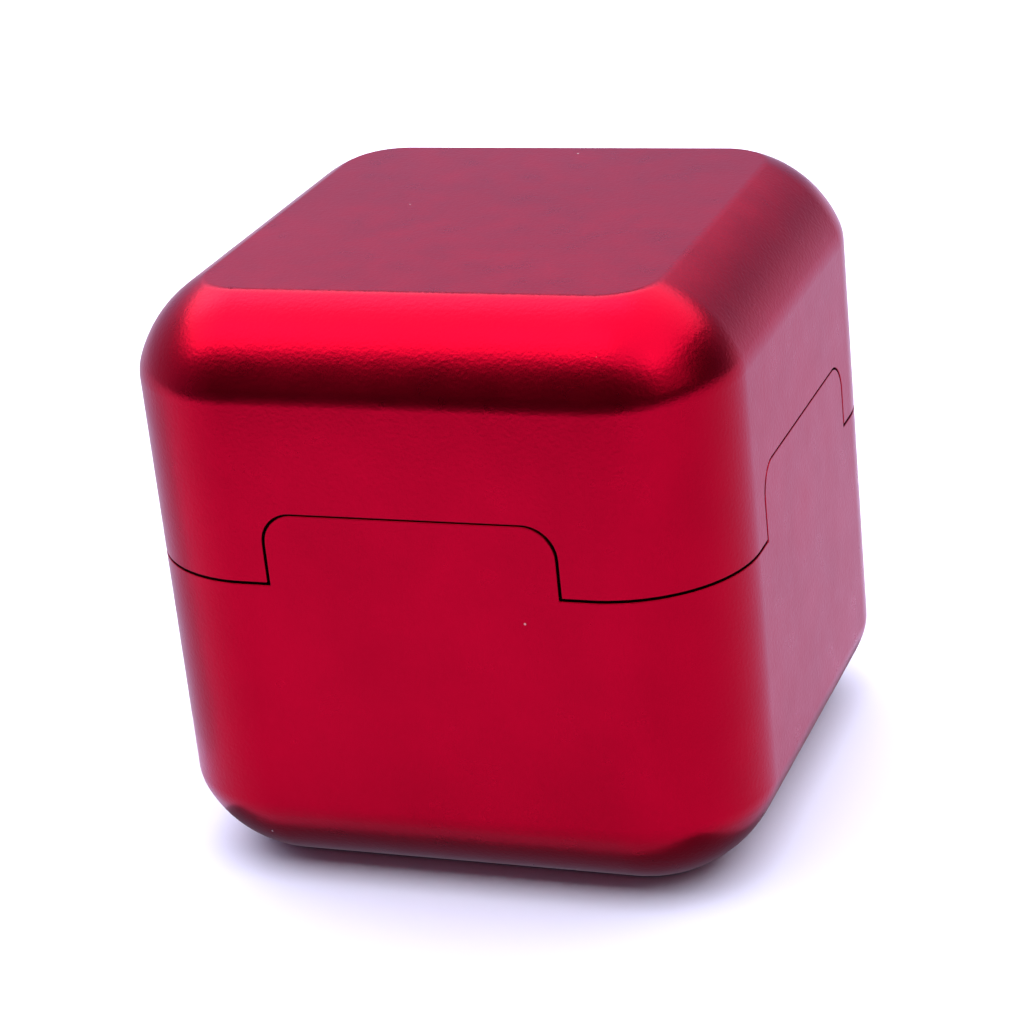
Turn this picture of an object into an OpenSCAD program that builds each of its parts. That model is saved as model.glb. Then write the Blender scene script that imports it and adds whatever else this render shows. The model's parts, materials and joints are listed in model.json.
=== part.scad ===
// Fidget cube in two castellated halves.
// The upper half slides up and down on a piston that stands in the lower half.
// The origin is the centre of the base, and +Z is up. Sizes are in millimetres.

/* [Closed cube] */
// Width and depth of the closed cube
side = 38; // [37:0.1:40]
// Height of the closed cube
height = 37.6; // [37.2:0.1:40]
// Radius of the four upright edges
upright_r = 8; // [6:0.1:8.2]
// Reach of the rounded rims over the sides and over the two ends
rim_reach = 4.8; // [3:0.1:5.5]
// Angle of the crease where a rim's arc meets a flat
rim_crease = 21; // [0:1:24]

/* [Castellated seam] */
// Height above the base of the corner valleys in the lower half
valley_z = 20.5; // [19.5:0.1:21]
// Height of each tab above the valleys
tab_h = 4.6; // [3.5:0.1:5]
// Width of each tab
tab_w = 18.3; // [16:0.1:18.6]
// Radius of the left-hand top corner of a tab, seen from outside
tab_left_r = 1.9; // [1:0.1:2.2]
// Radius of the right-hand top corner of a tab, seen from outside
tab_right_r = 2; // [1:0.1:2.6]
// Gap between the halves at the flanks and the valleys
seam_gap = 0.18; // [0.08:0.01:0.2]
// Gap over the tops of the tabs, where the halves all but touch
seat_gap = 0.1; // [0.03:0.01:0.1]

/* [Piston and cylinder] */
// Radius of the piston
piston_r = 12; // [11.6:0.1:12]
// Radial running clearance of the piston in the liner
running_fit = 0.03; // [0.02:0.01:0.08]
// Wall of the cylinder liner
liner_wall = 1.47; // [1.2:0.01:1.5]
// Thickness of the top wall over the liner
top_wall = 3.8; // [3:0.1:4.2]
// Height of the piston's top face above the base
piston_top = 32.8; // [32.6:0.1:33]
// Height above the base of the pocket floor that the piston stands on
pocket_z = 8; // [7.6:0.1:9]
// Radius of the hollow in the piston sleeve
hollow_r = 8; // [7.6:0.1:8.2]
// Thickness of the piston sleeve's own floor
sleeve_floor = 3.2; // [3:0.1:3.6]
// Thickness of the piston crown
crown_t = 3.2; // [3:0.1:3.4]
// Radius of the piston crown
crown_r = 9; // [8.9:0.1:9.1]

/* [Screws and pin] */
// Radius of the piston screw's thread
screw_r = 2.5; // [2:0.1:2.6]
// Length of the piston screw under its head
screw_len = 10; // [8:0.5:10.5]
// Radius of the piston screw's head
screw_head_r = 4.25; // [4:0.05:4.5]
// Height of the piston screw's head
screw_head_h = 5; // [4:0.1:5]
// Thickness of the lock washer
washer_t = 1.2; // [1:0.1:1.4]
// Radius of the bleed screw's thread
bleed_r = 1.5; // [1.2:0.1:2]
// Radius of the dowel pin
dowel_r = 1; // [0.8:0.1:1]
// Distance of the dowel pin from the middle of the cube
dowel_offset = 6.2; // [6:0.1:6.4]

/* [Magnets] */
// Radius of each magnet
magnet_r = 2.5; // [2:0.1:2.6]
// Thickness of each magnet
magnet_t = 2.5; // [2:0.1:3]
// Distance of each magnet from the middle planes of the cube
magnet_offset = 13.1; // [12.8:0.1:13.2]
// Depth of each magnet below the face that it sits in
magnet_sink = 0.15; // [0.1:0.05:0.3]

/* [Hidden] */
$fn = 96;

anodised_red = [0.72, 0.02, 0.14];
steel = [0.78, 0.78, 0.80];
blackened_steel = [0.16, 0.16, 0.17];
brass = [0.80, 0.66, 0.36];
nickel = [0.83, 0.82, 0.79];
seal_black = [0.07, 0.07, 0.07];
ring_white = [0.90, 0.89, 0.86];

// A cutter reaches this far past the faces that it cuts through
past = 1;
// The corner columns turn about these places, one in each quarter of the cube
column_offset = side / 2 - upright_r;
// Radii that the two halves leave round the piston
liner_in_r = piston_r + running_fit;
liner_out_r = liner_in_r + liner_wall;
liner_clearance = 0.3;
recess_r = liner_out_r + liner_clearance;
// The liner stands between the ends of the legs and the ceiling of its bore
liner_z = valley_z + seam_gap;
ceiling_z = height - top_wall;
// The recess is the ring-shaped trough that the vent hole opens into
recess_z = valley_z - 1.5;
vent_r = 0.5;
vent_z = recess_z + 0.75;
// Seal groove near the top of the piston, and guide groove lower down
seal_r = 0.95;
seal_z = piston_top - 2.1;
seal_groove_h = 2.1;
guide_t = 0.8;
guide_z = valley_z + 1.7;
guide_h = 3;
// Crown seal, in a groove round the crown
crown_seal_r = 0.5;
crown_z = piston_top - crown_t;
crown_seal_z = crown_z + 1.3;
crown_groove_h = 1.1;
// Screw seats
sleeve_floor_z = pocket_z + sleeve_floor;
screw_seat_z = sleeve_floor_z + washer_t;
tap_clearance = 0.4;
small_chamfer = 0.3;
// The dowel reaches this far into the pocket floor and into the sleeve's floor
dowel_grip = sleeve_floor - 0.2;
// Width of the cut in the lock washer and in the guide ring, and its slant in the ring
split_w = 0.6;
split_slant = 30;
// The bleed screw stands a little short of both faces of the crown
bleed_margin = 0.2;
bleed_key = 1.5;
bleed_flat = 0.2;
piston_key = 4;
// Quarter turns that carry the front left corner to the other corners
FRONT_LEFT = 0;
FRONT_RIGHT = 90;
BACK_RIGHT = 180;
BACK_LEFT = 270;

// A quarter of a disc that fills the quadrant of +X and +Y
module quarter_disc(r) {
    intersection() {
        circle(r);
        square(r + past);
    }
}

// The corner of an outline: an arc that crosses a square of side r between two of its corners
// and meets each flat at the rim's crease
module creased_corner(r) {
    arc_r = r / (cos(rim_crease) - sin(rim_crease));
    set_back = arc_r * sin(rim_crease);
    intersection() {
        translate([-set_back, -set_back]) circle(arc_r);
        square(r + past);
    }
}

// An upright outline from the centre line outwards, with both outer corners rounded
module half_outline(reach, h, r) {
    square([reach - r, h]);
    translate([reach - r, r]) square([r, h - 2 * r]);
    translate([reach - r, h - r]) creased_corner(r);
    translate([reach - r, r]) mirror([0, 1]) creased_corner(r);
}

// A slab through the whole cube that gives two opposite sides their rounded rims
module side_slab() {
    rotate([90, 0, 0])
        linear_extrude(2 * column_offset, center = true) {
            half_outline(side / 2, height, rim_reach);
            mirror([1, 0]) half_outline(side / 2, height, rim_reach);
        }
}

// The closed cube: two crossed slabs, and a turned column in each corner
module rounded_block() {
    side_slab();
    rotate(90) side_slab();
    for (turn = [0:90:270])
        rotate(turn)
            translate([column_offset, column_offset])
                rotate_extrude(angle = 90) half_outline(upright_r, height, rim_reach);
}

// The outline of a tab, seen from outside, with its foot on the X axis
module tab_outline(w, h, left_r, right_r) {
    translate([left_r - w / 2, 0]) square([w - left_r - right_r, h]);
    translate([-w / 2, 0]) square([left_r, h - left_r]);
    translate([w / 2 - right_r, 0]) square([right_r, h - right_r]);
    translate([left_r - w / 2, h - left_r]) mirror([1, 0]) quarter_disc(left_r);
    translate([w / 2 - right_r, h - right_r]) quarter_disc(right_r);
}

// Everything below the seam: a base up to the valleys, and four tabs.
// Grown by the two gaps, it is the space that the upper half leaves free.
module below_seam(side_gap, top_gap) {
    foot = 2;
    translate([-side, -side, -past]) cube([2 * side, 2 * side, valley_z + side_gap + past]);
    for (turn = [0:90:270])
        rotate(turn)
            translate([0, 0, valley_z - foot])
                rotate([90, 0, 0])
                    linear_extrude(side)
                        tab_outline(
                            tab_w + 2 * side_gap, foot + tab_h + top_gap,
                            tab_left_r + top_gap, tab_right_r + top_gap
                        );
}

// A magnet's round pocket, or the magnet itself, in one corner
module corner_disc(turn, z, h, edge) {
    rotate(turn)
        translate([-magnet_offset, -magnet_offset, z])
            rotate_extrude()
                polygon([
                    [0, 0], [magnet_r - edge, 0], [magnet_r, edge],
                    [magnet_r, h - edge], [magnet_r - edge, h], [0, h]
                ]);
}

// A socket-head screw that points down, with the underside of its head at z = 0
module socket_screw(r, len, head_r, head_h, key) {
    difference() {
        rotate_extrude()
            polygon([
                [0, -len], [r - small_chamfer, -len], [r, small_chamfer - len], [r, 0],
                [head_r, 0], [head_r, head_h - small_chamfer],
                [head_r - small_chamfer, head_h], [0, head_h]
            ]);
        translate([0, 0, head_h / 2]) cylinder(h = head_h, d = key / cos(30), $fn = 6);
    }
}

module lower_body() {
    color(anodised_red)
        difference() {
            intersection() {
                rounded_block();
                below_seam(0, 0);
            }
            // Recess round the piston, which also makes the inner faces of the tabs
            translate([0, 0, recess_z]) cylinder(h = height, r = recess_r);
            // Pocket for the foot of the piston
            translate([0, 0, pocket_z]) cylinder(h = height, r = piston_r);
            // Tapped hole for the piston screw
            translate([0, 0, screw_seat_z - screw_len - tap_clearance])
                cylinder(h = height, r = screw_r);
            // Hole for the dowel pin
            translate([dowel_offset, 0, pocket_z - dowel_grip])
                cylinder(h = height, r = dowel_r);
            for (turn = [0:90:270])
                corner_disc(turn, valley_z - magnet_sink - magnet_t, magnet_t + past, 0);
        }
}

module upper_body() {
    color(anodised_red)
        difference() {
            rounded_block();
            below_seam(seam_gap, seat_gap);
            // Bore that the liner is pressed into
            translate([0, 0, -past]) cylinder(h = ceiling_z + past, r = liner_out_r);
            for (turn = [0:90:270])
                corner_disc(turn, liner_z - past, magnet_sink + magnet_t + past, 0);
        }
}

// A turned stainless cup with a floor, a seat for the crown and two ring grooves
module piston_sleeve() {
    groove_r = piston_r - 2 * seal_r;
    band_r = piston_r - guide_t;
    seal_lo = seal_z - seal_groove_h / 2;
    seal_hi = seal_z + seal_groove_h / 2;
    color(steel)
        difference() {
            rotate_extrude()
                polygon([
                    [screw_r, pocket_z], [piston_r - small_chamfer, pocket_z],
                    [piston_r, pocket_z + small_chamfer],
                    [piston_r, guide_z], [band_r, guide_z],
                    [band_r, guide_z + guide_h], [piston_r, guide_z + guide_h],
                    [piston_r, seal_lo], [groove_r, seal_lo],
                    [groove_r, seal_hi], [piston_r, seal_hi],
                    [piston_r, piston_top - 2 * small_chamfer],
                    [piston_r - 2 * small_chamfer, piston_top], [crown_r, piston_top],
                    [crown_r, crown_z], [hollow_r, crown_z],
                    [hollow_r, sleeve_floor_z], [screw_r, sleeve_floor_z]
                ]);
            translate([dowel_offset, 0, pocket_z - past])
                cylinder(h = dowel_grip + past, r = dowel_r);
            // Vent hole from the hollow to the recess round the piston
            translate([0, 0, vent_z]) rotate([0, 90, 45]) cylinder(h = side, r = vent_r);
        }
}

// The disc that closes the piston, with two blind holes for a pin spanner
module piston_crown() {
    pin_hole_r = 0.9;
    pin_hole_offset = 5.2;
    pin_hole_depth = 1.6;
    groove_r = crown_r - 2 * crown_seal_r;
    color(steel)
        difference() {
            rotate_extrude()
                polygon([
                    [bleed_r, crown_z], [crown_r, crown_z],
                    [crown_r, crown_seal_z - crown_groove_h / 2],
                    [groove_r, crown_seal_z - crown_groove_h / 2],
                    [groove_r, crown_seal_z + crown_groove_h / 2],
                    [crown_r, crown_seal_z + crown_groove_h / 2],
                    [crown_r, piston_top - small_chamfer / 2],
                    [crown_r - small_chamfer / 2, piston_top], [bleed_r, piston_top]
                ]);
            for (flip = [-1, 1])
                translate([0, flip * pin_hole_offset, piston_top - pin_hole_depth])
                    cylinder(h = pin_hole_depth + past, r = pin_hole_r);
        }
}

module piston_screw() {
    color(blackened_steel)
        translate([0, 0, screw_seat_z])
            socket_screw(screw_r, screw_len, screw_head_r, screw_head_h, piston_key);
}

// A split spring washer under the head of the piston screw
module lock_washer() {
    color(steel)
        difference() {
            translate([0, 0, sleeve_floor_z])
                rotate_extrude()
                    translate([screw_r, 0]) square([screw_head_r - screw_r, washer_t]);
            translate([0, -split_w / 2, sleeve_floor_z - past])
                cube([side, split_w, washer_t + 2 * past]);
        }
}

module piston_dowel() {
    color(steel)
        translate([dowel_offset, 0, pocket_z - dowel_grip])
            cylinder(h = 2 * dowel_grip, r = dowel_r);
}

// A round-section ring whose outside lies at the radius outer_r
module round_ring(outer_r, ring_r, z) {
    translate([0, 0, z])
        rotate_extrude()
            translate([outer_r - ring_r, 0]) circle(ring_r);
}

module piston_seal() {
    color(seal_black) round_ring(piston_r, seal_r, seal_z);
}

module crown_seal() {
    color(seal_black) round_ring(crown_r, crown_seal_r, crown_seal_z);
}

// A split band of low-friction plastic that keeps the piston off the liner
module guide_ring() {
    color(ring_white)
        difference() {
            translate([0, 0, guide_z])
                rotate_extrude()
                    translate([piston_r - guide_t, 0]) square([guide_t, guide_h]);
            translate([0, piston_r, guide_z + guide_h / 2])
                rotate([0, split_slant, 0])
                    cube([split_w, 4 * guide_t, 3 * guide_h], center = true);
        }
}

// A set screw in the middle of the crown, with a flat along it that air creeps past
module bleed_screw() {
    len = crown_t - 2 * bleed_margin;
    color(blackened_steel)
        translate([0, 0, crown_z + bleed_margin])
            difference() {
                rotate_extrude()
                    polygon([
                        [0, 0], [bleed_r / 2, 0], [bleed_r, bleed_r / 2],
                        [bleed_r, len - small_chamfer / 2],
                        [bleed_r - small_chamfer / 2, len], [0, len]
                    ]);
                translate([0, 0, len / 2]) cylinder(h = len, d = bleed_key / cos(30), $fn = 6);
                translate([bleed_r - bleed_flat, -bleed_r, -past])
                    cube([past, 2 * bleed_r, len + 2 * past]);
            }
}

// A bronze sleeve pressed into the upper half, with a lead-in at its mouth
module cylinder_liner() {
    lead = 0.5;
    color(brass)
        rotate_extrude()
            polygon([
                [liner_in_r + lead, liner_z], [liner_out_r, liner_z],
                [liner_out_r, ceiling_z], [liner_in_r, ceiling_z],
                [liner_in_r, liner_z + lead]
            ]);
}

module lower_magnet(turn) {
    color(nickel)
        corner_disc(turn, valley_z - magnet_sink - magnet_t, magnet_t, small_chamfer);
}

module upper_magnet(turn) {
    color(nickel)
        corner_disc(turn, liner_z + magnet_sink, magnet_t, small_chamfer);
}

lower_body();
piston_sleeve();
piston_crown();
piston_screw();
lock_washer();
piston_dowel();
piston_seal();
crown_seal();
guide_ring();
bleed_screw();
lower_magnet(FRONT_LEFT);  // lower_magnet_front_left
lower_magnet(FRONT_RIGHT);  // lower_magnet_front_right
lower_magnet(BACK_RIGHT);  // lower_magnet_back_right
lower_magnet(BACK_LEFT);  // lower_magnet_back_left
upper_body();
cylinder_liner();
upper_magnet(FRONT_LEFT);  // upper_magnet_front_left
upper_magnet(FRONT_RIGHT);  // upper_magnet_front_right
upper_magnet(BACK_RIGHT);  // upper_magnet_back_right
upper_magnet(BACK_LEFT);  // upper_magnet_back_left
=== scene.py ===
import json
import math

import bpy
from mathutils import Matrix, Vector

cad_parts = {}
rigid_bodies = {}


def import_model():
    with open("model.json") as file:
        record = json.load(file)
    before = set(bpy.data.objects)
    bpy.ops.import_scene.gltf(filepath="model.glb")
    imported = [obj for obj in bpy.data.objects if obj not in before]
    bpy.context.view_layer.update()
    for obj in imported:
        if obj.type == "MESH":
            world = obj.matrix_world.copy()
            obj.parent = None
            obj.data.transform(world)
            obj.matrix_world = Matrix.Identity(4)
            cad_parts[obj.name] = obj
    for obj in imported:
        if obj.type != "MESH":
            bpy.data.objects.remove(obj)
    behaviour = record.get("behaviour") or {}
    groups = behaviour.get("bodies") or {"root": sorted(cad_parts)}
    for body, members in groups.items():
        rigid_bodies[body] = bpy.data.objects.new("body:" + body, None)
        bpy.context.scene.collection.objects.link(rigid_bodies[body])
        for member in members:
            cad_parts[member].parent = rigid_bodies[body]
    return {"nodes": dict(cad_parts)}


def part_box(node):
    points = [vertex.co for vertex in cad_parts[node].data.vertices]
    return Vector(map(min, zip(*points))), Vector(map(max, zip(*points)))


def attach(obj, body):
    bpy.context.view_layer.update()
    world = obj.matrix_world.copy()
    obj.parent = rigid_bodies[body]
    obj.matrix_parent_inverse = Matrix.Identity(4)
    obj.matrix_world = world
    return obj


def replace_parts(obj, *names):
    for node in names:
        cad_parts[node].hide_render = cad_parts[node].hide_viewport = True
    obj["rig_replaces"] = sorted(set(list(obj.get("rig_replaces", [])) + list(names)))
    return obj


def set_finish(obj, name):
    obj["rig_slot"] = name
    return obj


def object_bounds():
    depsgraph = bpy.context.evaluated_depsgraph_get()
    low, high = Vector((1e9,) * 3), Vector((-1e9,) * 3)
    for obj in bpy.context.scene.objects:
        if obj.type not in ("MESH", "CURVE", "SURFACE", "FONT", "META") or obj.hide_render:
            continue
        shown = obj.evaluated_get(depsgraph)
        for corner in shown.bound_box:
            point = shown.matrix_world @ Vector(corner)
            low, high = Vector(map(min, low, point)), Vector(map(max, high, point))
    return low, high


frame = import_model()

# %% [markdown]
# # A pull-apart fidget cube
# The cube is two blocks of aluminium that meet in a castellated seam. A steel piston stands in
# the lower block, and the upper block slides up and down on it against the air inside. The
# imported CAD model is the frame: it says where every part is. This script gives each part the
# surface that it has in the hand, and models again the parts whose edges the eye can reach.

MM = 0.001
cad_low, cad_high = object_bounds()
side = cad_high.x - cad_low.x
height = cad_high.z - cad_low.z


def extent(node):
    """Bottom, top and outer radius of a part that is turned about the upright axis."""
    low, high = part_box(node)
    return low.z, high.z, (high.x - low.x) / 2


_, tab_top_z, _ = extent("lower_body")
liner_z, ceiling_z, liner_out_r = extent("cylinder_liner")
pocket_z, piston_top, piston_r = extent("piston_sleeve")
seam_gap = 0.18 * MM
seat_gap = 0.1 * MM
valley_z = liner_z - seam_gap
print(f"closed cube {side / MM:.1f} mm wide and {height / MM:.1f} mm high")
print(f"valleys at {valley_z / MM:.2f} mm, tabs up to {tab_top_z / MM:.2f} mm")

# %% [markdown]
# ## Camera
# The cube is seen from a little above its front, with its right side just in view, and the
# camera leans a few degrees. A long lens keeps the perspective gentle. The camera's own three
# axes are worked out from the angles, so the lean is a turn about the line of sight.

# %% Place the camera
azimuth = math.radians(21.95)
elevation = math.radians(22.48)
lean = math.radians(-6.14)
distance = 5.26 * side
slide_left = 0.0171 * side
slide_down = 0.029 * side

backward = Vector((
    math.sin(azimuth) * math.cos(elevation),
    -math.cos(azimuth) * math.cos(elevation),
    math.sin(elevation),
))
level = Vector((math.cos(azimuth), math.sin(azimuth), 0))
upright = backward.cross(level)
rightward = math.cos(lean) * level + math.sin(lean) * upright
upward = math.cos(lean) * upright - math.sin(lean) * level
eye = Vector((0, 0, height / 2)) + distance * backward - slide_left * rightward - slide_down * upward

bpy.ops.object.select_all(action="DESELECT")
bpy.ops.object.camera_add()
camera = bpy.context.object
camera.name = "camera"
camera.data.sensor_width = 36
camera.data.lens = 109.52
camera.data.clip_start = 10 * MM
camera.matrix_world = Matrix.Translation(eye) @ Matrix(
    (rightward, upward, backward)
).transposed().to_4x4()
bpy.context.scene.camera = camera
bpy.context.scene.view_settings.view_transform = "Standard"
print(f"camera {distance / MM:.0f} mm from the middle of the cube")

# %% [markdown]
# ## Modelling helpers
# Each piece starts as a primitive that is added at its size and place, and is then shaped in
# edit mode. An operator works on what is selected, so one helper picks faces or edges by their
# place or direction. Another cuts one piece with a second one, as a cutter does in a machine.

# %% Helpers that start, select, cut and finish a piece
def start(name):
    """Names the primitive just added, and puts its place and size into its mesh."""
    piece = bpy.context.object
    piece.name = name
    piece.data.name = name
    bpy.ops.object.transform_apply(location=True, rotation=True, scale=True)
    return piece


def block(name, low, high):
    """A block between two corners."""
    low, high = Vector(low), Vector(high)
    bpy.ops.object.select_all(action="DESELECT")
    bpy.ops.mesh.primitive_cube_add(size=1, location=(low + high) / 2, scale=high - low)
    return start(name)


def drill(name, x, y, low, high, radius, sides=96):
    """A round bar that stands upright at x, y between two heights."""
    bpy.ops.object.select_all(action="DESELECT")
    bpy.ops.mesh.primitive_cylinder_add(
        vertices=sides, radius=radius, depth=high - low, location=(x, y, (low + high) / 2)
    )
    return start(name)


def choose(piece, kind, test):
    """Goes into edit mode with the faces or edges selected that pass a test.

    The test is given a face's centre and normal, or an edge's middle and direction."""
    if bpy.context.object and bpy.context.object.mode == "EDIT":
        bpy.ops.object.mode_set(mode="OBJECT")
    bpy.ops.object.select_all(action="DESELECT")
    bpy.context.view_layer.objects.active = piece
    piece.select_set(True)
    bpy.ops.object.mode_set(mode="EDIT")
    bpy.ops.mesh.select_mode(type=kind)
    bpy.ops.mesh.select_all(action="DESELECT")
    bpy.ops.object.mode_set(mode="OBJECT")
    mesh = piece.data
    if kind == "FACE":
        for face in mesh.polygons:
            face.select = bool(test(face.center, face.normal))
    else:
        for edge in mesh.edges:
            a, b = (mesh.vertices[i].co for i in edge.vertices)
            edge.select = bool(test((a + b) / 2, (b - a).normalized()))
    bpy.ops.object.mode_set(mode="EDIT")


def to_object_mode():
    bpy.ops.object.mode_set(mode="OBJECT")


def modify(piece, kind, **settings):
    """Adds a modifier with its settings and applies it."""
    modifier = piece.modifiers.new(kind.lower(), kind)
    for name, value in settings.items():
        setattr(modifier, name, value)
    bpy.ops.object.select_all(action="DESELECT")
    bpy.context.view_layer.objects.active = piece
    piece.select_set(True)
    bpy.ops.object.modifier_apply(modifier=modifier.name)


def cut(piece, tool):
    """Cuts the shape of a tool out of a piece, and puts the tool away."""
    modify(piece, "BOOLEAN", operation="DIFFERENCE", solver="EXACT", object=tool)
    bpy.data.objects.remove(tool)


def break_edges(piece, width, segments=2):
    """Takes the sharpness off every hard edge, then shades flats flat and rounds smooth."""
    choose(piece, "FACE", lambda place, normal: True)
    bpy.ops.mesh.remove_doubles(threshold=0.004 * MM)
    to_object_mode()
    modify(
        piece, "BEVEL", width=width, segments=segments, limit_method="ANGLE",
        angle_limit=math.radians(50), use_clamp_overlap=False, miter_outer="MITER_ARC",
    )
    bpy.ops.object.shade_smooth_by_angle(angle=math.radians(60))
    modify(piece, "WEIGHTED_NORMAL", mode="FACE_AREA", weight=50, keep_sharp=True)


def report(piece):
    triangles = sum(len(face.vertices) - 2 for face in piece.data.polygons)
    print(f"{piece.name}: {triangles} triangles, {piece.dimensions.z / MM:.2f} mm high")


# %% [markdown]
# ## The block that both halves are cut from
# On the real cube each half is milled from bar. The four upright edges are true rounds that run
# into the flats. The rims are flatter: a form cutter with too large a radius was run round the
# top and the bottom, so its arc meets each flat at a crease that catches the light as a line.
# Where the arc meets a side, the blasting has eased the crease to a small round.
# In Blender the uprights are one bevel with many segments. A bevel can't leave a crease, so each
# rim is a stair of insets that follow the two arcs: every inset steps inwards and up a little.

# %% Round the block
upright_r = 8 * MM
rim_reach = 4.8 * MM
rim_crease = math.radians(21)
rim_blend_r = 3 * MM
rim_turn = math.cos(rim_crease) - math.sin(rim_crease)
rim_arc_r = (rim_reach - rim_blend_r * (1 - math.cos(rim_crease))) / rim_turn
rim_rise = rim_blend_r * math.sin(rim_crease) + rim_arc_r * rim_turn
RIM_ARCS = (
    (rim_blend_r, 0, rim_crease, 6),
    (rim_arc_r, rim_crease, math.pi / 2 - rim_crease, 14),
)
print(f"rims: arc of {rim_arc_r / MM:.2f} mm radius, {rim_rise / MM:.2f} mm high")


def rounded_block(name):
    piece = block(
        name, (cad_low.x, cad_low.y, rim_rise), (cad_high.x, cad_high.y, height - rim_rise)
    )
    choose(piece, "EDGE", lambda middle, along: abs(along.z) > 0.9)
    bpy.ops.mesh.bevel(offset=upright_r, segments=22, profile=0.5, affect="EDGES")
    for direction in (-1, 1):
        choose(piece, "FACE", lambda place, normal: normal.z * direction > 0.9)
        for radius, first, last, steps in RIM_ARCS:
            for step in range(steps):
                lower = first + (last - first) * step / steps
                upper = first + (last - first) * (step + 1) / steps
                bpy.ops.mesh.inset(
                    thickness=radius * (math.cos(lower) - math.cos(upper)),
                    depth=radius * (math.sin(upper) - math.sin(lower)),
                    use_even_offset=True,
                )
    to_object_mode()
    return piece


# %% [markdown]
# ## The castellated seam
# Seen from each side, a tab stands up from the lower half with two rounded shoulders, and the
# left shoulder is a little tighter than the right. Four bars with that outline make both sides
# of the seam: the lower half keeps them, and the upper half loses them with a small gap added.

# %% Bars with the outline of a tab
tab_w = 18.3 * MM
shoulder_left = 1.9 * MM
shoulder_right = 2 * MM
bar_start = tab_w / 2 + seam_gap + 0.05 * MM
bar_foot = 2 * MM
past = 1 * MM


def tab_bar(quarter, side_gap, top_gap):
    half = tab_w / 2 + side_gap
    bar = block(
        "tab_bar", (-half, -side - past, valley_z - bar_foot), (half, -bar_start, tab_top_z + top_gap)
    )
    for direction, radius in ((-1, shoulder_left), (1, shoulder_right)):
        choose(
            bar, "EDGE",
            lambda middle, along: abs(along.y) > 0.9 and middle.z > valley_z
            and middle.x * direction > 0,
        )
        bpy.ops.mesh.bevel(offset=radius + top_gap, segments=14, profile=0.5, affect="EDGES")
    bpy.ops.mesh.select_all(action="SELECT")
    bpy.ops.transform.rotate(
        value=math.radians(90 * quarter), orient_axis="Z", center_override=(0, 0, 0)
    )
    to_object_mode()
    return bar


# %% [markdown]
# ## Pockets for the magnets
# Each corner has a blind pocket in both halves, drilled to the size of the disc magnet that is
# glued into it. One function cuts all four, so both halves use it with their own heights.

# %% Drill the magnet pockets
magnet_low, magnet_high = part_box("lower_magnet_back_right")
magnet_r = (magnet_high.x - magnet_low.x) / 2
magnet_place = (magnet_high.x + magnet_low.x) / 2
CORNERS = {
    "front_left": (-1, -1),
    "front_right": (1, -1),
    "back_right": (1, 1),
    "back_left": (-1, 1),
}


def magnet_pockets(piece, low, high):
    for across, along in CORNERS.values():
        x, y = across * magnet_place, along * magnet_place
        cut(piece, drill("pocket", x, y, low, high, magnet_r, 48))


# %% [markdown]
# ## Lower half
# The lower half is the block with everything above the seam milled away, a round recess that
# the liner dips into, and a pocket that the piston stands in. The space above the seam is one
# tool: a slab from the valleys up, which first loses the four bars. Last, every hard edge is
# broken by a few hundredths of a millimetre, as a deburring wheel leaves it.

# %% Model the lower half
edge_break = 0.05 * MM
recess_r = liner_out_r + 0.3 * MM
recess_z = valley_z - 1.5 * MM
screw_r = 2.5 * MM
tap_room = 0.4 * MM
screw_z, _, _ = extent("piston_screw")
dowel_low, dowel_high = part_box("piston_dowel")
dowel_r = (dowel_high.x - dowel_low.x) / 2

lower_shell = rounded_block("lower_shell")
above_seam = block(
    "above_seam", (-side, -side, valley_z), (side, side, height + past)
)
for quarter in range(4):
    cut(above_seam, tab_bar(quarter, 0, 0))
cut(lower_shell, above_seam)
cut(lower_shell, drill("recess", 0, 0, recess_z, height, recess_r, 128))
cut(lower_shell, drill("pocket", 0, 0, pocket_z, height, piston_r, 128))
cut(lower_shell, drill("tapped_hole", 0, 0, screw_z - tap_room, height, screw_r, 48))
cut(lower_shell, drill(
    "dowel_hole", dowel_high.x - dowel_r, 0, dowel_low.z, height, dowel_r, 32
))
magnet_pockets(lower_shell, magnet_low.z, valley_z + past)
break_edges(lower_shell, edge_break)
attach(lower_shell, "lower_half")
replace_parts(lower_shell, "lower_body")
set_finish(lower_shell, "anodised_red")
report(lower_shell)

# %% [markdown]
# ## Upper half
# The upper half is cut from the same block. It loses everything below the seam, with the gap
# that a fingernail just feels, and the bore that holds the liner. The magnets in its four legs
# pull on those below, so the halves snap shut the last millimetre.

# %% Model the upper half
upper_magnet_low, upper_magnet_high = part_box("upper_magnet_back_right")

upper_shell = rounded_block("upper_shell")
cut(upper_shell, block(
    "below_seam", (-side, -side, -past), (side, side, valley_z + seam_gap)
))
for quarter in range(4):
    cut(upper_shell, tab_bar(quarter, seam_gap, seat_gap))
cut(upper_shell, drill("bore", 0, 0, 0, ceiling_z, liner_out_r, 128))
magnet_pockets(upper_shell, liner_z - past, upper_magnet_high.z)
break_edges(upper_shell, edge_break)
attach(upper_shell, "upper_half")
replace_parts(upper_shell, "upper_body")
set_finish(upper_shell, "anodised_red")
report(upper_shell)


# %% [markdown]
# ## Lathe work
# Everything inside the cube is turned. A ring starts as half of its section, a plane that stands
# beside the axis. Its outline is kept, its face is thrown away, and spin carries the outline
# once round. The last copy lies on the first, so the doubles are merged, and because spin can
# turn a shape inside out, the normals are made to point outwards.

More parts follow.
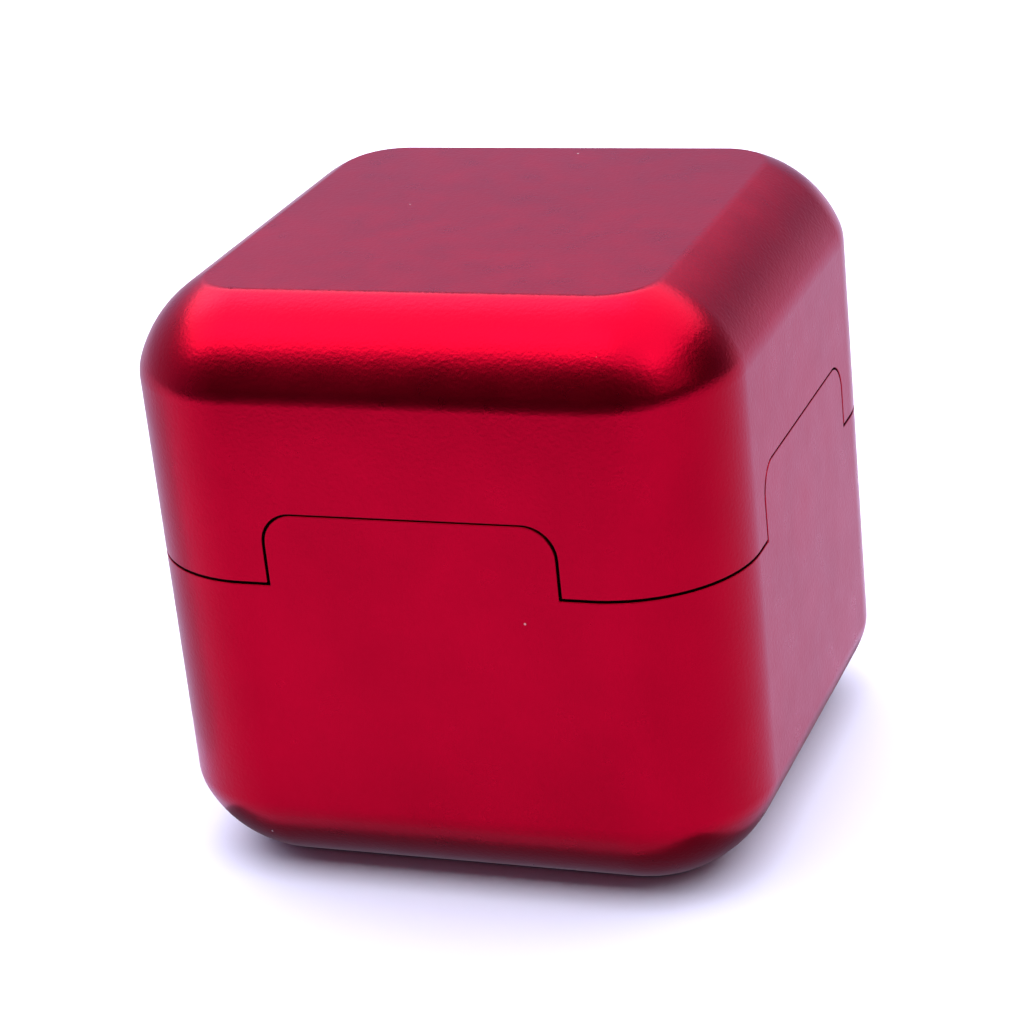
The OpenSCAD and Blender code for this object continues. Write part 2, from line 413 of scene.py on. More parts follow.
# %% Helpers for turned parts
def ring(name, inner, outer, low, high, sides=128):
    bpy.ops.object.select_all(action="DESELECT")
    bpy.ops.mesh.primitive_plane_add(
        size=1, location=((inner + outer) / 2, 0, (low + high) / 2), rotation=(math.pi / 2, 0, 0)
    )
    bpy.context.object.scale = (outer - inner, high - low, 1)
    piece = start(name)
    bpy.ops.object.mode_set(mode="EDIT")
    bpy.ops.mesh.select_all(action="SELECT")
    bpy.ops.mesh.delete(type="ONLY_FACE")
    bpy.ops.mesh.select_all(action="SELECT")
    bpy.ops.mesh.spin(steps=sides, angle=2 * math.pi, center=(0, 0, 0), axis=(0, 0, 1))
    bpy.ops.mesh.select_all(action="SELECT")
    bpy.ops.mesh.remove_doubles(threshold=0.001 * MM)
    bpy.ops.mesh.normals_make_consistent(inside=False)
    to_object_mode()
    return piece


def chamfer_end(piece, direction, width):
    """Bevels the rim of the flat end that faces up (1) or down (-1)."""
    choose(piece, "FACE", lambda place, normal: normal.z * direction > 0.9)
    bpy.ops.mesh.region_to_loop()
    bpy.ops.mesh.bevel(offset=width, segments=1, affect="EDGES")
    to_object_mode()


def deliver(piece, body, node, slot):
    """The piece moves with a body, stands for a CAD node, and takes a finish."""
    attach(piece, body)
    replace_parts(piece, node)
    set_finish(piece, slot)
    report(piece)
    return piece


# %% [markdown]
# ## Piston
# The piston is a stainless cup. It is turned from bar: the foot and the lip are chamfered, two
# grooves are cut for the guide ring and the seal, and the inside is bored out. Each cut here is
# one of those cuts on the lathe. A pin hole in the foot stops it turning. The CAD model also has
# a vent of one millimetre through the wall, just above the floor of the recess. That vent is
# missing here.

# %% Model the piston
guide_low, guide_high, _ = extent("guide_ring")
seal_low, seal_high, _ = extent("piston_seal")
crown_z, _, crown_r = extent("piston_crown")
washer_z, washer_top, washer_r = extent("lock_washer")
guide_t = 0.8 * MM
seal_r = (seal_high - seal_low) / 2
seal_z = (seal_high + seal_low) / 2
groove_room = 0.1 * MM
hollow_r = 8 * MM
foot_chamfer = 0.3 * MM
lip_chamfer = 0.6 * MM
turned_break = 0.08 * MM

piston_barrel = drill("piston_barrel", 0, 0, pocket_z, piston_top, piston_r, 160)
chamfer_end(piston_barrel, -1, foot_chamfer)
chamfer_end(piston_barrel, 1, lip_chamfer)
cut(piston_barrel, ring("groove", piston_r - guide_t, side, guide_low, guide_high, 160))
cut(piston_barrel, ring(
    "groove", piston_r - 2 * seal_r, side, seal_low - groove_room, seal_high + groove_room, 160
))
cut(piston_barrel, drill("seat", 0, 0, crown_z, height, crown_r, 128))
cut(piston_barrel, drill("hollow", 0, 0, washer_z, height, hollow_r, 128))
cut(piston_barrel, drill("screw_hole", 0, 0, 0, height, screw_r, 64))
cut(piston_barrel, drill(
    "pin_hole", dowel_high.x - dowel_r, 0, 0, dowel_high.z, dowel_r, 32
))
break_edges(piston_barrel, turned_break)
deliver(piston_barrel, "lower_half", "piston_sleeve", "ground_steel")

# %% [markdown]
# ## Crown
# A disc closes the piston and makes it an air chamber. It has a groove for its own seal, a
# tapped hole in the middle for the bleed screw, and two blind holes for a pin spanner.

# %% Model the crown
crown_seal_low, crown_seal_high, _ = extent("crown_seal")
crown_seal_r = (crown_seal_high - crown_seal_low) / 2
_, _, bleed_r = extent("bleed_screw")
pin_hole_r = 0.9 * MM
pin_hole_offset = 5.2 * MM
pin_hole_depth = 1.6 * MM
crown_chamfer = 0.15 * MM

piston_cap = drill("piston_cap", 0, 0, crown_z, piston_top, crown_r, 128)
chamfer_end(piston_cap, 1, crown_chamfer)
cut(piston_cap, ring(
    "groove", crown_r - 2 * crown_seal_r, side,
    crown_seal_low - groove_room / 2, crown_seal_high + groove_room / 2,
))
cut(piston_cap, drill("bleed_hole", 0, 0, 0, height, bleed_r, 48))
for end in (-1, 1):
    cut(piston_cap, drill(
        "pin_hole", 0, end * pin_hole_offset, piston_top - pin_hole_depth, height, pin_hole_r, 32
    ))
break_edges(piston_cap, turned_break)
deliver(piston_cap, "lower_half", "piston_crown", "ground_steel")

# %% [markdown]
# ## Threaded screws
# A screw's thread is one ridge that winds round a plain core. Its section is a triangle with a
# flat side outwards, so the thread here is shallower than a real one, with a flat crest. The
# Screw modifier carries that round the axis while it climbs by one pitch a turn. The ridge is
# then joined to its core, so the screw stays one solid. The hexagon socket is a cut with a
# six-sided bar.

# %% A ridge that climbs round the axis
def thread_ridge(radius, pitch, low, high):
    depth = 0.54 * pitch
    bpy.ops.object.select_all(action="DESELECT")
    bpy.ops.mesh.primitive_circle_add(
        vertices=3, radius=depth, location=(radius - depth, 0, low + pitch / 2),
        rotation=(math.pi / 2, 0, 0),
    )
    ridge = start("thread_ridge")
    bpy.ops.object.mode_set(mode="EDIT")
    bpy.ops.mesh.select_all(action="SELECT")
    bpy.ops.transform.rotate(
        value=math.pi / 2, orient_axis="Y", center_override=(radius - depth, 0, low + pitch / 2)
    )
    to_object_mode()
    turns = int((high - low) / pitch) - 1
    modify(
        ridge, "SCREW", axis="Z", angle=2 * math.pi, screw_offset=pitch, iterations=turns,
        steps=24, render_steps=24, use_merge_vertices=True, merge_threshold=0.001 * MM,
    )
    bpy.ops.object.mode_set(mode="EDIT")
    bpy.ops.mesh.select_all(action="SELECT")
    bpy.ops.mesh.fill_holes(sides=4)
    bpy.ops.mesh.normals_make_consistent(inside=False)
    to_object_mode()
    return ridge


def join_solids(piece, other):
    """Makes two overlapping solids one."""
    modify(piece, "BOOLEAN", operation="UNION", solver="EXACT", object=other)
    bpy.data.objects.remove(other)


# %% [markdown]
# ## The two screws
# A socket-head screw holds the piston down from inside, and a small set screw closes the bleed
# hole in the crown. Each is a core, a ridge and a hexagon socket. In the CAD model the set screw
# has a flat along it that lets air past. That flat is missing here, and the screw and its hole
# are a tenth of a millimetre too small in radius, because the radius is read from the flat side.

# %% Model the piston screw and the bleed screw
_, screw_top, head_r = extent("piston_screw")
bleed_low, bleed_high, _ = extent("bleed_screw")
coarse_pitch = 0.8 * MM
fine_pitch = 0.5 * MM
head_chamfer = 0.3 * MM
socket_depth = 2.5 * MM
socket_r = 2.31 * MM
small_socket_r = 0.87 * MM
screw_break = 0.03 * MM
small_screw_break = 0.02 * MM

cap_screw = drill("cap_screw", 0, 0, washer_top, screw_top, head_r, 72)
chamfer_end(cap_screw, 1, head_chamfer)
core_r = screw_r - coarse_pitch / 2
join_solids(cap_screw, drill("core", 0, 0, screw_z, washer_top + past, core_r, 48))
join_solids(cap_screw, thread_ridge(screw_r, coarse_pitch, screw_z, washer_top))
cut(cap_screw, drill("socket", 0, 0, screw_top - socket_depth, height, socket_r, 6))
break_edges(cap_screw, screw_break)
deliver(cap_screw, "lower_half", "piston_screw", "black_steel")

set_screw = drill("set_screw", 0, 0, bleed_low, bleed_high, bleed_r - fine_pitch / 2, 48)
join_solids(set_screw, thread_ridge(bleed_r, fine_pitch, bleed_low, bleed_high))
cut(set_screw, drill("socket", 0, 0, (bleed_low + bleed_high) / 2, height, small_socket_r, 6))
break_edges(set_screw, small_screw_break)
deliver(set_screw, "lower_half", "bleed_screw", "black_steel")

# %% [markdown]
# ## Washer, pin and rings
# The lock washer and the guide ring are turned, and then slit. The washer's slit is straight and
# the ring's is slanted, so no line on the liner's wall ever meets an open gap. The pin is bar
# with rounded ends. The two seals are round cord, so each is a torus.

# %% Model the washer, the pin, the guide ring and the seals
split_w = 0.6 * MM
split_slant = math.radians(30)
saw_depth = 2 * MM
saw_reach = 5 * MM
pin_end_r = 0.25 * MM


def slit(piece, place, slant):
    """Saws a slot through a ring at a place, leaning by an angle."""
    saw = block(
        "saw", (place.x - split_w / 2, place.y - saw_depth, place.z - saw_reach),
        (place.x + split_w / 2, place.y + saw_depth, place.z + saw_reach),
    )
    bpy.ops.object.mode_set(mode="EDIT")
    bpy.ops.mesh.select_all(action="SELECT")
    bpy.ops.transform.rotate(value=slant, orient_axis="Y", center_override=place)
    to_object_mode()
    cut(piece, saw)


split_washer = ring("split_washer", screw_r, washer_r, washer_z, washer_top, 96)
slit(split_washer, Vector((0, washer_r, (washer_z + washer_top) / 2)), 0)
break_edges(split_washer, turned_break)
deliver(split_washer, "lower_half", "lock_washer", "washer_steel")

turn_pin = drill("turn_pin", dowel_high.x - dowel_r, 0, dowel_low.z, dowel_high.z, dowel_r, 40)
break_edges(turn_pin, pin_end_r, 4)
deliver(turn_pin, "lower_half", "piston_dowel", "ground_steel")

slide_ring = ring("slide_ring", piston_r - guide_t, piston_r, guide_low, guide_high, 160)
slit(slide_ring, Vector((0, piston_r, (guide_low + guide_high) / 2)), split_slant)
break_edges(slide_ring, turned_break)
deliver(slide_ring, "lower_half", "guide_ring", "guide_plastic")


def round_seal(name, outer, cord_r, place_z):
    bpy.ops.object.select_all(action="DESELECT")
    bpy.ops.mesh.primitive_torus_add(
        location=(0, 0, place_z), major_radius=outer - cord_r, minor_radius=cord_r,
        major_segments=160, minor_segments=28,
    )
    piece = start(name)
    bpy.ops.object.shade_smooth()
    return piece


barrel_ring = round_seal("barrel_o_ring", piston_r, seal_r, seal_z)
deliver(barrel_ring, "lower_half", "piston_seal", "seal_rubber")
cap_ring = round_seal(
    "cap_o_ring", crown_r, crown_seal_r, (crown_seal_low + crown_seal_high) / 2
)
deliver(cap_ring, "lower_half", "crown_seal", "seal_rubber")

# %% [markdown]
# ## Liner
# A bronze bush is pressed into the upper half, and its bore is honed. It is a ring whose inner
# bottom edge is bevelled, so that the seal slides into it without being nicked.

# %% Model the liner
slide_gap = 0.03 * MM
liner_in_r = piston_r + slide_gap
lead_in = 0.5 * MM
near = 0.01 * MM

bronze_bush = ring("bronze_bush", liner_in_r, liner_out_r, liner_z, ceiling_z, 160)
choose(
    bronze_bush, "EDGE",
    lambda middle, along: abs(along.z) < 0.1 and middle.z < liner_z + near
    and math.hypot(middle.x, middle.y) < liner_in_r + near,
)
bpy.ops.mesh.bevel(offset=lead_in, segments=1, affect="EDGES")
to_object_mode()
break_edges(bronze_bush, turned_break)
deliver(bronze_bush, "upper_half", "cylinder_liner", "liner_brass")

# %% [markdown]
# ## Magnets
# Each corner holds a pair of small disc magnets, one in each half. They are pressed powder with
# a plated skin, and tumbling rounds their rims before plating. One disc is modelled, and seven
# copies of it, each with its own mesh, are slid to their places.

# %% Model one magnet and copy it
magnet_t = magnet_high.z - magnet_low.z
magnet_round = 0.3 * MM
first_disc = drill("magnet_disc", 0, 0, 0, magnet_t, magnet_r, 64)
break_edges(first_disc, magnet_round, 5)

for half, floor_z in (("lower", magnet_low.z), ("upper", upper_magnet_low.z)):
    for corner, (across, along) in CORNERS.items():
        bpy.ops.object.select_all(action="DESELECT")
        bpy.context.view_layer.objects.active = first_disc
        first_disc.select_set(True)
        bpy.ops.object.duplicate()
        bpy.context.object.location = (across * magnet_place, along * magnet_place, floor_z)
        disc = start(f"{half}_disc_{corner}")
        deliver(disc, f"{half}_half", f"{half}_magnet_{corner}", "magnet_nickel")
bpy.data.objects.remove(first_disc)

# %% [markdown]
# ## Helpers for materials
# Colours are written as sRGB hex values, as on a colour chart, and one function turns them to
# the linear numbers that the shader works in. Another adds a node with its settings and links.
# A texture's scale is one over the size of its pattern, because the space it sees is in metres.

# %% Colour and node helpers
def linear(hex_colour):
    """The linear colour of an sRGB hex value."""
    channels = [int(hex_colour[i : i + 2], 16) / 255 for i in (1, 3, 5)]
    bent = [c / 12.92 if c <= 0.04045 else ((c + 0.055) / 1.055) ** 2.4 for c in channels]
    return (*bent, 1)


def add(tree, kind, links=None, **settings):
    """Adds a node, sets its properties and its inputs by name, and links other inputs."""
    node = tree.nodes.new(kind)
    for name, value in settings.items():
        if hasattr(node, name):
            setattr(node, name, value)
        else:
            node.inputs[name.replace("_", " ")].default_value = value
    for name, source in (links or {}).items():
        tree.links.new(source, node.inputs[name])
    return node


def new_material(name):
    material = bpy.data.materials.new(name)
    material.use_nodes = True
    material.node_tree.nodes.clear()
    return material, material.node_tree


# %% [markdown]
# ## Anodised aluminium
# The halves are 6000-series aluminium. They are blasted with fine glass bead, which leaves a
# matt grain of small dents, and are then anodised and dyed. The dye sits in a clear oxide skin,
# so straight on it is a deep red, and at a glancing angle the bare metal shows as a cooler
# sheen. The edge colour of the metal shader does that. The dents are a noise of a quarter of a
# millimetre. Real ones are under a tenth, and are drawn larger so that they show. A wide faint
# noise is the uneven dye, and a few small spots are dust.

# %% Finish of the two halves
def anodised_red():
    material, tree = new_material("anodised_red")
    place = add(tree, "ShaderNodeTexCoord").outputs["Object"]
    dents = add(
        tree, "ShaderNodeTexNoise", {"Vector": place}, Scale=1 / (0.24 * MM), Detail=1.0, Roughness=0.5
    )
    bump = add(
        tree, "ShaderNodeBump", {"Height": dents.outputs["Fac"]}, Strength=0.9, Distance=0.013 * MM
    )
    clouds = add(tree, "ShaderNodeTexNoise", {"Vector": place}, Scale=1 / (7 * MM), Detail=4.0)
    depth = add(
        tree, "ShaderNodeMapRange", {"Value": clouds.outputs["Fac"]},
        From_Min=0.3, From_Max=0.7, To_Min=0.94, To_Max=1.06,
    )
    dye = add(
        tree, "ShaderNodeHueSaturation", {"Value": depth.outputs["Result"]}, Color=linear("#97031E")
    )
    patches = add(tree, "ShaderNodeTexNoise", {"Vector": place}, Scale=1 / (2.2 * MM), Detail=3.0)
    matt = add(
        tree, "ShaderNodeMapRange", {"Value": patches.outputs["Fac"]},
        From_Min=0.3, From_Max=0.7, To_Min=0.27, To_Max=0.31,
    )
    skin = add(
        tree, "ShaderNodeBsdfPrincipled",
        {
            "Normal": bump.outputs["Normal"],
            "Base Color": dye.outputs["Color"],
            "Roughness": matt.outputs["Result"],
        },
        Metallic=1.0, Specular_Tint=linear("#E7E0EF"),
    )
    cells = add(tree, "ShaderNodeTexVoronoi", {"Vector": place}, Scale=1 / (4.2 * MM))
    speck = add(
        tree, "ShaderNodeMapRange", {"Value": cells.outputs["Distance"]},
        From_Min=0.012, From_Max=0.022, To_Min=0.5, To_Max=0.0,
    )
    dust = add(tree, "ShaderNodeBsdfPrincipled", Base_Color=linear("#D8C6C8"), Roughness=0.9)
    both = add(
        tree, "ShaderNodeMixShader",
        {0: speck.outputs["Result"], 1: skin.outputs["BSDF"], 2: dust.outputs["BSDF"]},
    )
    add(tree, "ShaderNodeOutputMaterial", {"Surface": both.outputs["Shader"]})
    return material


# %% [markdown]
# ## Turned and ground metal
# A tool or a wheel leaves fine rings round the axis of a turned part. In the material they are
# a noise of two numbers only, the distance from the axis and the height, so the pattern is the
# same all the way round. The bump and the tone of the colour follow it, and the roughness follows
# a wider noise. The steels, the washer and the screws share this recipe, each with its own
# colour, line width and depth.

# %% A recipe for turned metal
def turned_metal(name, colour, line_w, line_depth, smooth, matt):
    material, tree = new_material(name)
    place = add(tree, "ShaderNodeTexCoord").outputs["Object"]
    sides = add(tree, "ShaderNodeVectorMath", {0: place}, operation="MULTIPLY")
    sides.inputs[1].default_value = (1, 1, 0)
    radius = add(tree, "ShaderNodeVectorMath", {0: sides.outputs["Vector"]}, operation="LENGTH")
    parts = add(tree, "ShaderNodeSeparateXYZ", {"Vector": place})
    section = add(
        tree, "ShaderNodeCombineXYZ", {"X": radius.outputs["Value"], "Z": parts.outputs["Z"]}
    )
    rings = add(
        tree, "ShaderNodeTexNoise", {"Vector": section.outputs["Vector"]},
        Scale=1 / line_w, Detail=3.0, Roughness=0.6,
    )
    wear = add(tree, "ShaderNodeTexNoise", {"Vector": place}, Scale=1 / (3 * MM), Detail=4.0)
    bump = add(
        tree, "ShaderNodeBump", {"Height": rings.outputs["Fac"]}, Strength=0.6, Distance=line_depth
    )
    shine = add(
        tree, "ShaderNodeMapRange", {"Value": wear.outputs["Fac"]},
        From_Min=0.3, From_Max=0.7, To_Min=smooth, To_Max=matt,
    )
    tone = add(
        tree, "ShaderNodeMapRange", {"Value": rings.outputs["Fac"]},
        From_Min=0.2, From_Max=0.8, To_Min=0.9, To_Max=1.05,
    )
    body = add(
        tree, "ShaderNodeHueSaturation", {"Value": tone.outputs["Result"]}, Color=linear(colour)
    )
    shader = add(
        tree, "ShaderNodeBsdfPrincipled",
        {
            "Normal": bump.outputs["Normal"],
            "Base Color": body.outputs["Color"],
            "Roughness": shine.outputs["Result"],
        },
        Metallic=1.0,
    )
    add(tree, "ShaderNodeOutputMaterial", {"Surface": shader.outputs["BSDF"]})
    return material


# %% [markdown]
# ## Honed bronze
# The liner is bearing bronze. A hone turns in the bore while it moves up and down, so it leaves
# two sets of fine scratches that cross at about sixty degrees and hold the grease. The arc
# along the wall and the height make a flat map of the bore, which is turned each way by thirty
# degrees and stretched into lines.

# %% Finish of the liner
def honed_bronze():
    material, tree = new_material("liner_brass")
    place = add(tree, "ShaderNodeTexCoord").outputs["Object"]
    parts = add(tree, "ShaderNodeSeparateXYZ", {"Vector": place})
    turn = add(
        tree, "ShaderNodeMath", {0: parts.outputs["Y"], 1: parts.outputs["X"]}, operation="ARCTAN2"
    )
    arc = add(tree, "ShaderNodeMath", {0: turn.outputs["Value"]}, operation="MULTIPLY")
    arc.inputs[1].default_value = liner_in_r
    wall = add(
        tree, "ShaderNodeCombineXYZ", {"X": arc.outputs["Value"], "Y": parts.outputs["Z"]}
    )
    scratches = []
    for angle in (-30, 30):
        turned = add(
            tree, "ShaderNodeVectorRotate", {"Vector": wall.outputs["Vector"]},
            rotation_type="Z_AXIS", Angle=math.radians(angle),
        )
        drawn = add(
            tree, "ShaderNodeMapping", {"Vector": turned.outputs["Vector"]},
            Scale=(1 / (4 * MM), 1 / (0.06 * MM), 1),
        )
        lines = add(
            tree, "ShaderNodeTexNoise", {"Vector": drawn.outputs["Vector"]}, Scale=1.0, Detail=2.0
        )
        scratches.append(lines.outputs["Fac"])
    crossed = add(
        tree, "ShaderNodeMath", {0: scratches[0], 1: scratches[1]}, operation="MULTIPLY"
    )
    bump = add(
        tree, "ShaderNodeBump", {"Height": crossed.outputs["Value"]}, Strength=0.7, Distance=0.006 * MM
    )
    stain = add(tree, "ShaderNodeTexNoise", {"Vector": place}, Scale=1 / (2.5 * MM), Detail=4.0)
    tone = add(
        tree, "ShaderNodeMapRange", {"Value": stain.outputs["Fac"]},
        From_Min=0.3, From_Max=0.7, To_Min=0.88, To_Max=1.04,
    )
    body = add(
        tree, "ShaderNodeHueSaturation", {"Value": tone.outputs["Result"]}, Color=linear("#C9A15B")
    )
    shader = add(
        tree, "ShaderNodeBsdfPrincipled",
        {"Normal": bump.outputs["Normal"], "Base Color": body.outputs["Color"]},
        Metallic=1.0, Roughness=0.26,
    )
    add(tree, "ShaderNodeOutputMaterial", {"Surface": shader.outputs["BSDF"]})
    return material


# %% [markdown]
# ## Nickel plate
# The magnets are plated with bright nickel, a warm white metal. They have been tumbled and have
# slid against steel, so the plate has short hair-fine scratches in every direction and a soft
# unevenness under them. A stretched noise that is itself bent by another gives the scratches.

# %% Finish of the magnets
def plated_nickel():
    material, tree = new_material("magnet_nickel")
    place = add(tree, "ShaderNodeTexCoord").outputs["Object"]
    bend = add(tree, "ShaderNodeTexNoise", {"Vector": place}, Scale=1 / (1.5 * MM), Detail=1.0)
    swirl = add(
        tree, "ShaderNodeMapRange", {"Value": bend.outputs["Fac"]},
        From_Min=0.0, From_Max=1.0, To_Min=-3.0, To_Max=3.0,
    )
    turned = add(
        tree, "ShaderNodeVectorRotate", {"Vector": place, "Angle": swirl.outputs["Result"]},
        rotation_type="Z_AXIS",
    )
    drawn = add(
        tree, "ShaderNodeMapping", {"Vector": turned.outputs["Vector"]},
        Scale=(1 / (1.2 * MM), 1 / (0.05 * MM), 1 / (1.2 * MM)),
    )
    hairs = add(tree, "ShaderNodeTexNoise", {"Vector": drawn.outputs["Vector"]}, Scale=1.0, Detail=2.0)
    bump = add(
        tree, "ShaderNodeBump", {"Height": hairs.outputs["Fac"]}, Strength=0.35, Distance=0.004 * MM
    )
    shine = add(
        tree, "ShaderNodeMapRange", {"Value": hairs.outputs["Fac"]},
        From_Min=0.35, From_Max=0.75, To_Min=0.12, To_Max=0.24,
    )
    shader = add(
        tree, "ShaderNodeBsdfPrincipled",
        {"Normal": bump.outputs["Normal"], "Roughness": shine.outputs["Result"]},
        Base_Color=linear("#D3CBBF"), Metallic=1.0,
    )
    add(tree, "ShaderNodeOutputMaterial", {"Surface": shader.outputs["BSDF"]})
    return material


# %% [markdown]
# ## Nitrile rubber
# The seals are moulded nitrile, black from the carbon in it. Moulding leaves a very fine orange
# peel. A thin coat of silicone grease lies on it in patches, so a clear coat is laid on where a
# soft noise is high.

# %% Finish of the seals
def greased_rubber():
    material, tree = new_material("seal_rubber")
    place = add(tree, "ShaderNodeTexCoord").outputs["Object"]
    peel = add(tree, "ShaderNodeTexNoise", {"Vector": place}, Scale=1 / (0.12 * MM), Detail=2.0)
    bump = add(
        tree, "ShaderNodeBump", {"Height": peel.outputs["Fac"]}, Strength=0.4, Distance=0.01 * MM
    )
    smears = add(tree, "ShaderNodeTexNoise", {"Vector": place}, Scale=1 / (2 * MM), Detail=3.0)
    grease = add(
        tree, "ShaderNodeMapRange", {"Value": smears.outputs["Fac"]},
        From_Min=0.42, From_Max=0.6, To_Min=0.0, To_Max=0.8,
    )
    shader = add(
        tree, "ShaderNodeBsdfPrincipled",
        {"Normal": bump.outputs["Normal"], "Coat Weight": grease.outputs["Result"]},
        Base_Color=linear("#151516"), Roughness=0.55, IOR=1.52, Coat_Roughness=0.14, Coat_IOR=1.4,
    )
    add(tree, "ShaderNodeOutputMaterial", {"Surface": shader.outputs["BSDF"]})
    return material


# %% [markdown]
# ## Guide plastic
# The guide ring is skived from a block of PTFE with a little filler. It is off-white, waxy and
# low in gloss, with faint cloudiness and the marks of the knife round it.

# %% Finish of the guide ring
def waxy_plastic():
    material, tree = new_material("guide_plastic")
    place = add(tree, "ShaderNodeTexCoord").outputs["Object"]
    parts = add(tree, "ShaderNodeSeparateXYZ", {"Vector": place})
    height_only = add(tree, "ShaderNodeCombineXYZ", {"Z": parts.outputs["Z"]})
    marks = add(
        tree, "ShaderNodeTexNoise", {"Vector": height_only.outputs["Vector"]},
        Scale=1 / (0.15 * MM), Detail=2.0,
    )
    bump = add(
        tree, "ShaderNodeBump", {"Height": marks.outputs["Fac"]}, Strength=0.4, Distance=0.01 * MM
    )
    clouds = add(tree, "ShaderNodeTexNoise", {"Vector": place}, Scale=1 / (1.8 * MM), Detail=4.0)
    tone = add(
        tree, "ShaderNodeMapRange", {"Value": clouds.outputs["Fac"]},
        From_Min=0.3, From_Max=0.7, To_Min=0.93, To_Max=1.02,
    )
    body = add(
        tree, "ShaderNodeHueSaturation", {"Value": tone.outputs["Result"]}, Color=linear("#E2DDD0")
    )
    shader = add(
        tree, "ShaderNodeBsdfPrincipled",
        {"Normal": bump.outputs["Normal"], "Base Color": body.outputs["Color"]},
        Roughness=0.42, IOR=1.38,
    )
    add(tree, "ShaderNodeOutputMaterial", {"Surface": shader.outputs["BSDF"]})
    return material


# %% [markdown]
# ## Finishes on pieces
# Every piece was given a slot, the name of its finish. The real steels are: 303 stainless, turned
# and ground, for the piston, crown and pin; alloy steel with an oiled black oxide for the two
# screws; and zinc-plated spring steel for the washer. A CAD node takes the finish of the piece
# that stands for it.

# %% Put the finishes on
FINISHES = {
    "anodised_red": anodised_red(),
    "ground_steel": turned_metal("ground_steel", "#C4BFBA", 0.09 * MM, 0.004 * MM, 0.16, 0.24),
    "black_steel": turned_metal("black_steel", "#33312F", 0.12 * MM, 0.005 * MM, 0.34, 0.46),
    "washer_steel": turned_metal("washer_steel", "#BFC3C6", 0.1 * MM, 0.004 * MM, 0.28, 0.4),
    "liner_brass": honed_bronze(),
    "magnet_nickel": plated_nickel(),
    "seal_rubber": greased_rubber(),
    "guide_plastic": waxy_plastic(),
}
for piece in list(bpy.data.objects):
    if "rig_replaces" not in piece:
        continue
    finish = FINISHES[piece["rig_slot"]]
    for each in [piece, *(frame["nodes"][name] for name in piece["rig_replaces"])]:
        each.data.materials.clear()
        each.data.materials.append(finish)
print("finishes:", ", ".join(FINISHES))

# %% [markdown]
# ## Floor
# The cube stands on a plain sheet of pale paper that is much wider than the view. The paper is
# faintly cool, and it has only a soft sheen.

# %% Floor
bpy.ops.object.select_all(action="DESELECT")
bpy.ops.mesh.primitive_plane_add(size=6)
floor = start("floor")
floor_paper, tree = new_material("floor_paper")
place = add(tree, "ShaderNodeTexCoord").outputs["Object"]
fibres = add(tree, "ShaderNodeTexNoise", {"Vector": place}, Scale=1 / (1.5 * MM), Detail=3.0)
bump = add(
    tree, "ShaderNodeBump", {"Height": fibres.outputs["Fac"]}, Strength=0.1, Distance=0.02 * MM
)
paper = add(
    tree, "ShaderNodeBsdfPrincipled", {"Normal": bump.outputs["Normal"]},
    Base_Color=linear("#E4E6FD"), Roughness=0.9, Specular_IOR_Level=0.2,
)
add(tree, "ShaderNodeOutputMaterial", {"Surface": paper.outputs["BSDF"]})
floor.data.materials.append(floor_paper)

# %% [markdown]
# ## Light
# A polished or anodised metal shows the room, so most of its look is what stands round it. A
# wide soft box hangs overhead. Its front edge decides where the bright band on the top rim
# stops, and the dark band under it is the dim room in front. A low panel at the back right
# lifts the right side, and a larger one in front on the right evens out the floor.

# %% Soft boxes
def softbox(name, place, aim, width, depth, radiance):
    """A rectangle of even light that faces a point."""
    bpy.ops.object.select_all(action="DESELECT")
    bpy.ops.object.light_add(type="AREA", location=place)
    lamp = bpy.context.object
    lamp.name = name
    lamp.data.shape = "RECTANGLE"
    lamp.data.size = width
    lamp.data.size_y = depth
    lamp.data.energy = radiance * math.pi * width * depth
    lamp.rotation_euler = (Vector(place) - Vector(aim)).to_track_quat("Z", "Y").to_euler()
    return lamp


softbox("overhead_box", (-0.05, 0.14, 0.42), (-0.05, 0.14, 0), 1.1, 0.9, 2.95)
softbox("right_panel", (0.30, 0.60, 0.06), (0, 0, 0.02), 0.5, 0.12, 0.5)
softbox("right_box", (0.87, -0.31, 0.62), (0, 0, 0.02), 0.6, 0.6, 0.8)

# %% [markdown]
# ## Cards
# A photographer lays cards round a shiny object to paint its reflections. Here flat cards lie
# on the floor where it should look darker in the metal: one in front of the cube, one on each
# side, and one close round its foot. Two bright strips hang just under the soft box, as its
# tubes, and brighten the band on the rim. Cards glow by themselves, and only reflections see
# them, so they neither light the floor nor show in the view.

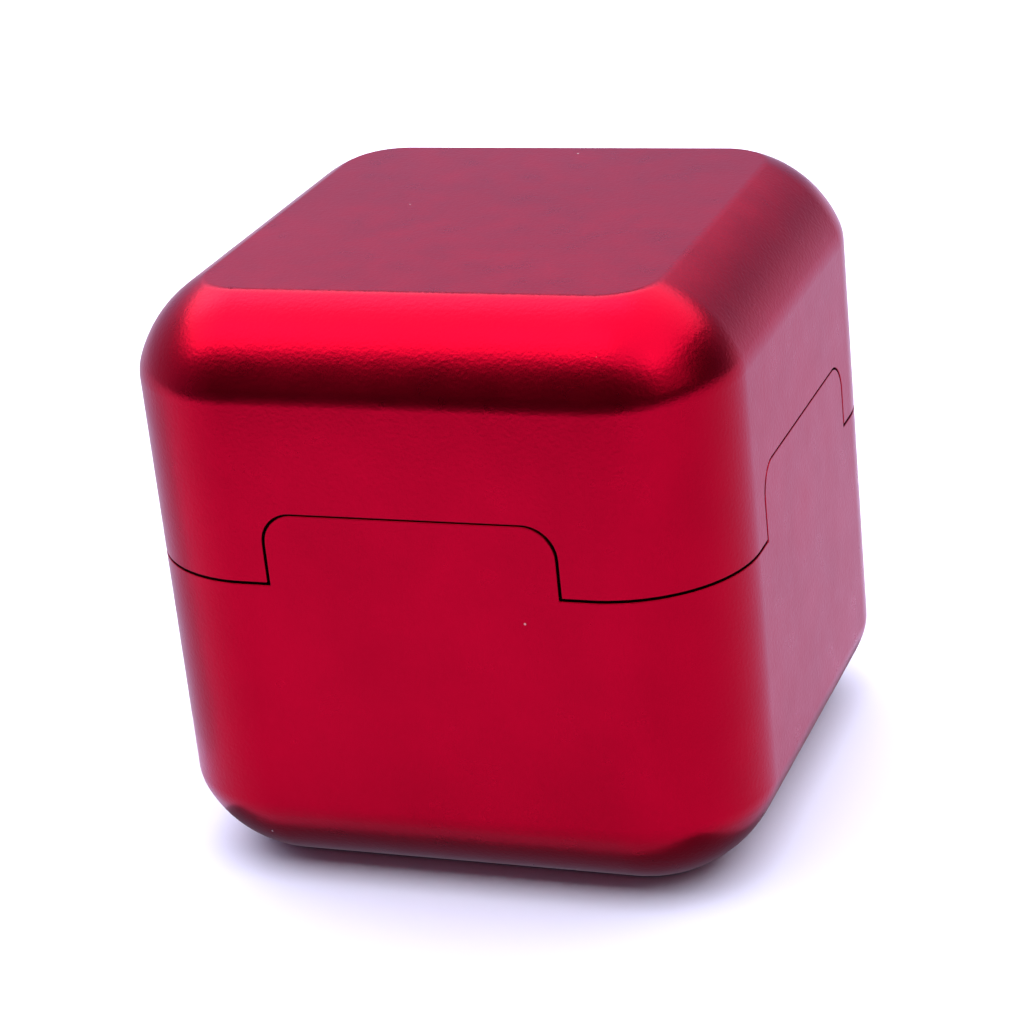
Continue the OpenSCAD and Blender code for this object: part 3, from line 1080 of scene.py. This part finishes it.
# %% Cards that only reflections see
def card(name, low, high, glow, tint="#E4E6FD"):
    """A flat card that only reflections see."""
    paint, tree = new_material(name)
    shine = add(tree, "ShaderNodeEmission", Color=linear(tint), Strength=glow)
    add(tree, "ShaderNodeOutputMaterial", {"Surface": shine.outputs["Emission"]})
    low, high = Vector(low), Vector(high)
    bpy.ops.object.select_all(action="DESELECT")
    bpy.ops.mesh.primitive_plane_add(size=1, location=(low + high) / 2)
    bpy.context.object.scale = (high.x - low.x, high.y - low.y, 1)
    piece = start(name)
    piece.data.materials.append(paint)
    piece.visible_camera = False
    piece.visible_diffuse = False
    piece.visible_shadow = False
    return piece


card("front_card", (-1.5, -1.13, 2 * MM), (1.5, -0.13, 2 * MM), 0.08)
card("left_card", (-1.3, -0.02, 2 * MM), (-0.028, 1.0, 2 * MM), 1.4)
card("right_card", (0.021, -0.055, 1 * MM), (1.3, 1.0, 1 * MM), 1.75)
# The foot card is painted shade: its dim glow lies under the cube, so the bottom rims reflect darkness
# where the foot's shadow falls.
card("foot_card", (-19 * MM, -19 * MM, 0.2 * MM), (19 * MM, 19 * MM, 0.2 * MM), 0.3)
card("back_strip", (-0.45, 0.05, 0.41), (0.05, 0.21, 0.41), 8, "#FFFFE8")
card("front_strip", (-0.45, -0.23, 0.41), (0.05, -0.08, 0.41), 5.5, "#FFFFE8")

# %% [markdown]
# ## Room
# The room is dim in front and lighter behind, and a little blue. The camera itself sees plain
# white behind the floor.

# %% World
world = bpy.data.worlds.new("studio")
bpy.context.scene.world = world
world.use_nodes = True
tree = world.node_tree
tree.nodes.clear()
direction = add(tree, "ShaderNodeTexCoord").outputs["Generated"]
lit_side = add(tree, "ShaderNodeVectorMath", {0: direction}, operation="DOT_PRODUCT")
lit_side.inputs[1].default_value = (-0.9, 1, 0)
ramp = add(
    tree, "ShaderNodeMapRange", {"Value": lit_side.outputs["Value"]},
    interpolation_type="SMOOTHSTEP", From_Min=-0.6, From_Max=1.15, To_Min=0.08, To_Max=0.72,
)
room = add(
    tree, "ShaderNodeBackground", {"Strength": ramp.outputs["Result"]}, Color=(0.97, 0.96, 1.32, 1)
)
white = add(tree, "ShaderNodeBackground", Strength=1.0, Color=(1, 1, 1, 1))
ray = add(tree, "ShaderNodeLightPath")
sky = add(
    tree, "ShaderNodeMixShader",
    {0: ray.outputs["Is Camera Ray"], 1: room.outputs["Background"], 2: white.outputs["Background"]},
)
add(tree, "ShaderNodeOutputWorld", {"Surface": sky.outputs["Shader"]})
print("studio: 3 soft boxes, 4 cards, 2 strips and a dim room")
